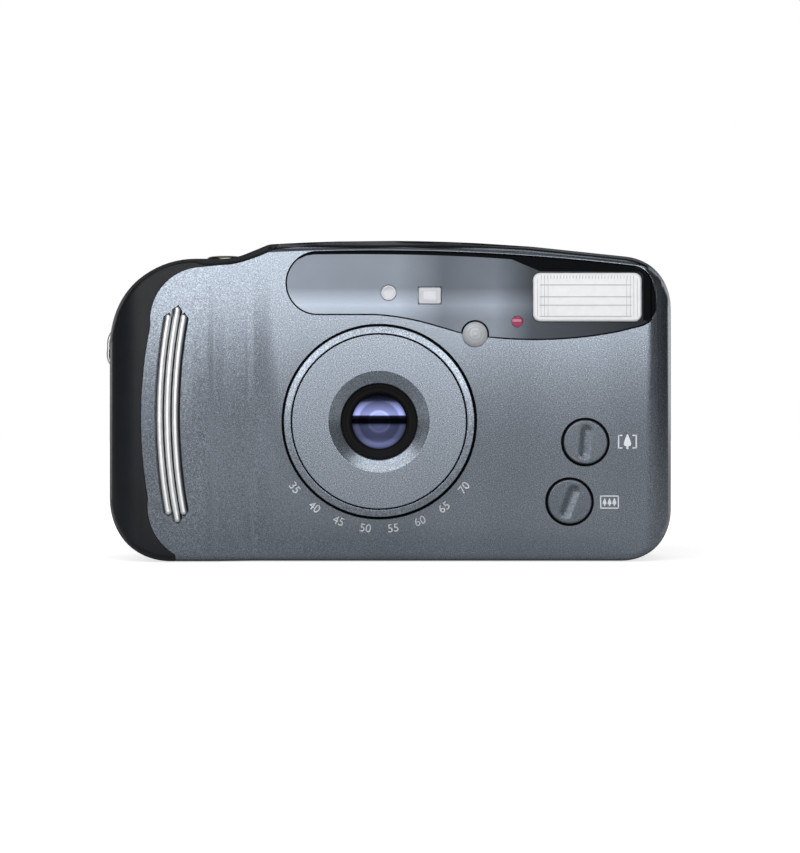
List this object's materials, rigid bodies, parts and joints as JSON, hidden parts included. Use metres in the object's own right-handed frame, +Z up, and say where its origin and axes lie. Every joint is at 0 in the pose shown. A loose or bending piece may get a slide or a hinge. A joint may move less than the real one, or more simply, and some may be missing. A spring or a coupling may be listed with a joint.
{
  "type": "compact film camera",
  "caption": "Compact film camera with a motor zoom lens, window panel with flash, ribbed grip and an opening back.",
  "frame": {"origin": "mouth of the tripod socket, in the base plane below the lens axis", "axes": "+X to the right seen from the front, -Y out of the lens, +Z up"},
  "size_m": [0.125, 0.0425, 0.069],
  "materials": {
    "grey_paint": "metallic paint, satin",
    "black_shell": "satin black",
    "grip_dark": "matt black",
    "bright_metal": "brushed",
    "panel_smoke": "smoked, polished",
    "flash_clear": "clear, with lines behind it",
    "window_glass": "clear, dark behind",
    "frosted_dome": "frosted",
    "lamp_red": "clear red",
    "barrel_grey": "fine satin",
    "barrel_black": "satin black",
    "lens_glass": "coated",
    "blade_steel": "blackened",
    "white_gear": "matt white",
    "steel": "bright",
    "button_grey": "satin",
    "button_silver": "satin",
    "button_black": "satin",
    "display": "matt",
    "board": "satin",
    "seal_foam": "matt",
    "plate_black": "black anodised",
    "reflector": "polished",
    "tube_glass": "clear",
    "can_wrap": "wrapped",
    "socket_metal": "turned"
  },
  "bodies": {
    "camera_body": {"front_cover": "grey_paint", "rear_cover": "black_shell", "grip_backing": "grip_dark", "grip_ribs": "bright_metal", "window_panel": "panel_smoke", "flash_window": "flash_clear", "viewfinder_window": "window_glass", "af_window": "window_glass", "light_sensor_lens": "frosted_dome", "self_timer_lamp": "lamp_red", "lens_ring": "barrel_grey", "lens_housing": "barrel_black", "main_chassis": "barrel_black", "zoom_motor": "steel", "shutter_ring": "bright_metal", "lcd_window": "window_glass", "lcd_module": "display", "main_board": "board", "door_hinge_pin": "steel", "viewfinder_tunnel": "barrel_black", "viewfinder_objective": "window_glass", "viewfinder_eyepiece": "window_glass", "af_module": "barrel_black", "flash_reflector": "reflector", "flash_tube": "tube_glass", "flash_capacitor": "can_wrap", "battery": "can_wrap", "battery_contacts": "steel", "battery_door_pin": "steel", "tripod_socket": "socket_metal", "strap_lug": "steel", "body_screws": "steel"},
    "lens_barrel": {"lens_barrel": "barrel_grey", "front_lens_cell": "barrel_black", "front_lens": "lens_glass", "shutter_base": "barrel_black"},
    "rear_lens_group": {"rear_lens_cell": "barrel_black", "rear_lens": "lens_glass"},
    "shutter_blade_a": {"shutter_blade_a": "blade_steel"},
    "shutter_blade_b": {"shutter_blade_b": "blade_steel"},
    "zoom_cam_ring": {"zoom_cam_ring": "barrel_black"},
    "zoom_pinion": {"zoom_pinion": "white_gear"},
    "viewfinder_zoom_lens": {"viewfinder_zoom_lens": "window_glass"},
    "takeup_spool": {"takeup_spool": "white_gear"},
    "sprocket_wheel": {"sprocket_wheel": "white_gear"},
    "rewind_fork": {"rewind_fork": "white_gear"},
    "zoom_tele_button": {"zoom_tele_button": "button_grey"},
    "zoom_wide_button": {"zoom_wide_button": "button_grey"},
    "shutter_button": {"shutter_button": "button_silver"},
    "power_button": {"power_button": "button_silver"},
    "flash_mode_button": {"flash_mode_button": "button_black"},
    "self_timer_button": {"self_timer_button": "button_black"},
    "rewind_button": {"rewind_button": "button_black"},
    "film_door": {"film_door": "black_shell", "film_door_window": "window_glass", "door_seal": "seal_foam", "pressure_spring": "steel"},
    "pressure_plate": {"pressure_plate": "plate_black"},
    "door_latch": {"door_latch": "button_black"},
    "battery_door": {"battery_door": "black_shell"}
  },
  "joints": [
    {"name": "lens_zoom", "type": "slide", "parent": "camera_body", "child": "lens_barrel", "axis": [0, -1, 0], "range_m": [0, 0.017]},
    {"name": "cam_ring_turn", "type": "hinge", "parent": "camera_body", "child": "zoom_cam_ring", "pos_m": [0, 0, 0.03], "axis": [0, -1, 0], "range_deg": [0, 150]},
    {"name": "pinion_spin", "type": "hinge", "parent": "camera_body", "child": "zoom_pinion", "pos_m": [-0.01201, 0, 0.00969], "axis": [0, -1, 0], "range_deg": [-960, 0]},
    {"name": "rear_group_shift", "type": "slide", "parent": "lens_barrel", "child": "rear_lens_group", "axis": [0, -1, 0], "range_m": [0, 0.0025]},
    {"name": "finder_lens_shift", "type": "slide", "parent": "camera_body", "child": "viewfinder_zoom_lens", "axis": [0, -1, 0], "range_m": [0, 0.003]},
    {"name": "shutter_a_swing", "type": "hinge", "parent": "lens_barrel", "child": "shutter_blade_a", "pos_m": [-0.0045, -0.0167, 0.0195], "axis": [0, -1, 0], "range_deg": [0, 32], "stiffness_Nm_per_rad": 0.00002, "springref_deg": -11.46},
    {"name": "shutter_b_swing", "type": "hinge", "parent": "lens_barrel", "child": "shutter_blade_b", "pos_m": [0.0045, -0.0171, 0.0195], "axis": [0, 1, 0], "range_deg": [0, 32]},
    {"name": "zoom_tele_press", "type": "slide", "parent": "camera_body", "child": "zoom_tele_button", "axis": [0, 1, 0], "range_m": [0, 0.0008], "stiffness_N_per_m": 150, "springref_m": -0.001},
    {"name": "zoom_wide_press", "type": "slide", "parent": "camera_body", "child": "zoom_wide_button", "axis": [0, 1, 0], "range_m": [0, 0.0008], "stiffness_N_per_m": 150, "springref_m": -0.001},
    {"name": "release_press", "type": "slide", "parent": "camera_body", "child": "shutter_button", "axis": [0, 0, -1], "range_m": [0, 0.0009], "stiffness_N_per_m": 150, "springref_m": -0.001},
    {"name": "power_press", "type": "slide", "parent": "camera_body", "child": "power_button", "axis": [0, 0, -1], "range_m": [0, 0.0006], "stiffness_N_per_m": 150, "springref_m": -0.001},
    {"name": "flash_mode_press", "type": "slide", "parent": "camera_body", "child": "flash_mode_button", "axis": [0, 0, -1], "range_m": [0, 0.0006], "stiffness_N_per_m": 150, "springref_m": -0.001},
    {"name": "self_timer_press", "type": "slide", "parent": "camera_body", "child": "self_timer_button", "axis": [0, 0, -1], "range_m": [0, 0.0006], "stiffness_N_per_m": 150, "springref_m": -0.001},
    {"name": "rewind_press", "type": "slide", "parent": "camera_body", "child": "rewind_button", "axis": [0, 0, 1], "range_m": [0, 0.0008], "stiffness_N_per_m": 150, "springref_m": -0.001},
    {"name": "film_door_swing", "type": "hinge", "parent": "camera_body", "child": "film_door", "pos_m": [-0.0563, 0.0147, 0.03], "axis": [0, 0, 1], "range_deg": [0, 110]},
    {"name": "pressure_plate_give", "type": "slide", "parent": "film_door", "child": "pressure_plate", "axis": [0, 1, 0], "range_m": [0, 0.0008], "stiffness_N_per_m": 400, "springref_m": -0.001, "deforming": ["pressure_spring"]},
    {"name": "door_latch_slide", "type": "slide", "parent": "camera_body", "child": "door_latch", "axis": [0, 0, -1], "range_m": [0, 0.004], "stiffness_N_per_m": 60, "springref_m": -0.002},
    {"name": "battery_door_swing", "type": "hinge", "parent": "camera_body", "child": "battery_door", "pos_m": [-0.0374, -0.0078, 0.0015], "axis": [0, -1, 0], "range_deg": [0, 90]},
    {"name": "takeup_spin", "type": "hinge", "parent": "camera_body", "child": "takeup_spool", "pos_m": [-0.033, 0.0055, 0.03], "axis": [0, 0, 1], "continuous": true},
    {"name": "sprocket_spin", "type": "hinge", "parent": "camera_body", "child": "sprocket_wheel", "pos_m": [-0.0212, 0.0112, 0.03], "axis": [0, 0, 1], "continuous": true},
    {"name": "fork_spin", "type": "hinge", "parent": "camera_body", "child": "rewind_fork", "pos_m": [0.0351, 0.0032, 0.05], "axis": [0, 0, 1], "continuous": true}
  ],
  "couplings": [
    {"joint": "cam_ring_turn", "follows": "lens_zoom", "rad_per_m": 154},
    {"joint": "pinion_spin", "follows": "lens_zoom", "rad_per_m": -981.74},
    {"joint": "rear_group_shift", "follows": "lens_zoom", "ratio": 0.147},
    {"joint": "finder_lens_shift", "follows": "lens_zoom", "ratio": 0.176},
    {"joint": "shutter_b_swing", "follows": "shutter_a_swing", "ratio": 1}
  ]
}
